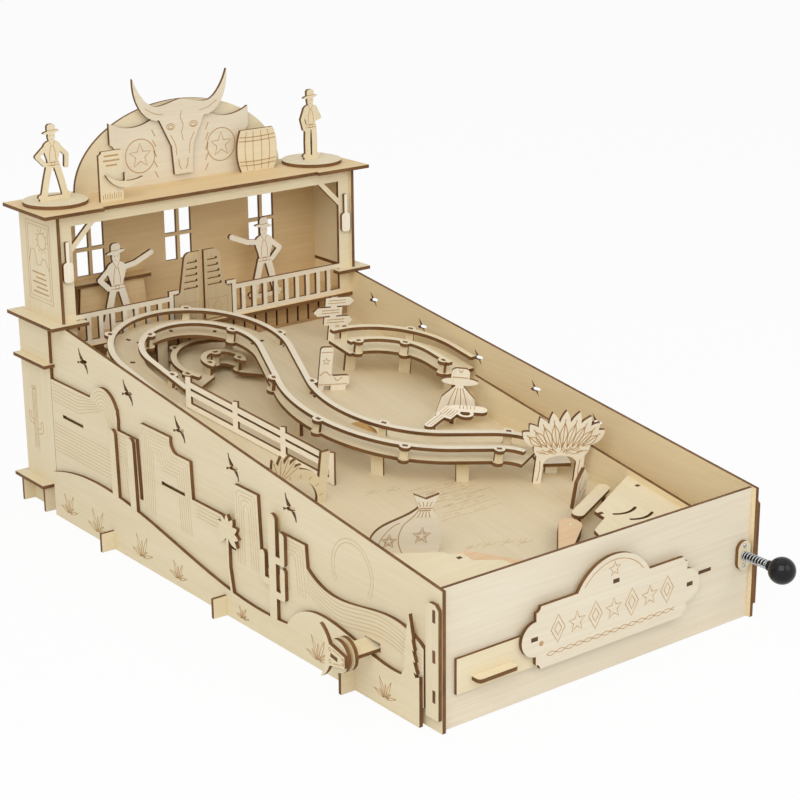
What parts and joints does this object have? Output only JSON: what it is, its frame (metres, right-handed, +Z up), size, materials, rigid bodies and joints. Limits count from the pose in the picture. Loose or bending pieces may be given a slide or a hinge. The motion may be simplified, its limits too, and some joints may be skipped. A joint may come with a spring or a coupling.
{
  "type": "tabletop pinball kit",
  "caption": "Tabletop pinball game of laser-cut plywood sheets with flippers, side buttons, a spring plunger, ball ramps and a saloon backdrop.",
  "frame": {"origin": "centre of the bottom edge face of the middle cross rib, on the surface the box stands on", "axes": "+X to the player's right, +Y from the player towards the saloon, +Z up"},
  "size_m": [0.372, 0.6183, 0.3572],
  "materials": {
    "birch_ply": "bare birch plywood with scorched laser-cut edges",
    "warm_ply": "bare plywood, warmer tone",
    "pale_ply": "bare plywood, peach tone",
    "wood_dowel": "bare wood dowel",
    "steel": "bright steel",
    "brass": "polished brass",
    "black_knob": "gloss black"
  },
  "bodies": {
    "cabinet": {"apron_plates": "birch_ply", "arch_board": "birch_ply", "back_panel": "birch_ply", "ball_tray": "birch_ply", "banner_board": "birch_ply", "bar_counter": "birch_ply", "bull_skull": "birch_ply", "bumper": "brass", "corner_strips": "birch_ply", "cross_ribs": "birch_ply", "entry_arch": "birch_ply", "entry_ramp": "birch_ply", "field_boards": "birch_ply", "front_panel": "birch_ply", "front_sign": "birch_ply", "hatch_pin": "wood_dowel", "landscape_layers": "birch_ply", "lane_boards": "birch_ply", "lane_divider": "birch_ply", "lane_guides": "birch_ply", "left_side_wall": "birch_ply", "loop_floor": "birch_ply", "loop_rails": "birch_ply", "loop_spacers": "birch_ply", "playfield": "birch_ply", "plunger_plate": "birch_ply", "porch_deck": "warm_ply", "porch_figures": "birch_ply", "porch_frame": "birch_ply", "porch_railings": "birch_ply", "porch_riser": "warm_ply", "ramp_fence": "birch_ply", "right_side_wall": "birch_ply", "roof_figures": "birch_ply", "roof_props": "birch_ply", "saloon_back_wall": "warm_ply", "saloon_roof": "birch_ply", "side_track": "birch_ply", "sign_spacers": "birch_ply", "skirt_layers": "birch_ply", "spiral_track": "birch_ply", "tower_ledges": "birch_ply", "tower_pilasters": "birch_ply", "tower_sides": "warm_ply"},
    "plunger": {"plunger_rod": "steel", "plunger_knob": "black_knob", "plunger_spring": "steel"},
    "left_button": {"left_button_bar": "birch_ply", "left_button_head": "birch_ply"},
    "right_button": {"right_button_bar": "birch_ply", "right_button_head": "birch_ply"},
    "left_flipper": {"left_flipper": "pale_ply", "left_flipper_crank": "birch_ply"},
    "right_flipper": {"right_flipper": "pale_ply", "right_flipper_crank": "birch_ply"},
    "left_door": {"left_batwing_door": "birch_ply"},
    "right_door": {"right_batwing_door": "birch_ply"},
    "hatch": {"ball_hatch": "birch_ply", "hatch_handle": "birch_ply"},
    "ball": {"steel_ball": "steel"}
  },
  "joints": [
    {"name": "plunger_push", "type": "slide", "parent": "cabinet", "child": "plunger", "axis": [0, 1, 0], "range_m": [0, 0.012], "stiffness_N_per_m": 60, "deforming": ["plunger_spring"]},
    {"name": "left_button_push", "type": "slide", "parent": "cabinet", "child": "left_button", "axis": [1, 0, 0], "range_m": [0, 0.01378], "stiffness_N_per_m": 40},
    {"name": "right_button_push", "type": "slide", "parent": "cabinet", "child": "right_button", "axis": [-1, 0, 0], "range_m": [0, 0.01378], "stiffness_N_per_m": 40},
    {"name": "left_flip", "type": "hinge", "parent": "cabinet", "child": "left_flipper", "pos_m": [-0.05, -0.155, 0.05924], "axis": [0, -0.1628, 0.9867], "range_deg": [0, 45.2]},
    {"name": "right_flip", "type": "hinge", "parent": "cabinet", "child": "right_flipper", "pos_m": [0.05, -0.155, 0.05924], "axis": [0, 0.1628, -0.9867], "range_deg": [0, 45.2]},
    {"name": "left_door_swing", "type": "hinge", "parent": "cabinet", "child": "left_door", "pos_m": [-0.0385, 0.2475, 0.1505], "axis": [0, 0, 1], "range_deg": [0, 75]},
    {"name": "right_door_swing", "type": "hinge", "parent": "cabinet", "child": "right_door", "pos_m": [0.0165, 0.2475, 0.1505], "axis": [0, 0, -1], "range_deg": [0, 75]},
    {"name": "hatch_swing", "type": "hinge", "parent": "cabinet", "child": "hatch", "pos_m": [-0.065, -0.2488, 0.042], "axis": [0, 1, 0], "range_deg": [0, 50]},
    {"name": "ball_roll", "type": "slide", "parent": "cabinet", "child": "ball", "axis": [1, 0, 0], "range_m": [0, 0.1]}
  ],
  "couplings": [
    {"joint": "left_flip", "follows": "left_button_push", "rad_per_m": 57.01},
    {"joint": "right_flip", "follows": "right_button_push", "rad_per_m": 57.01}
  ]
}
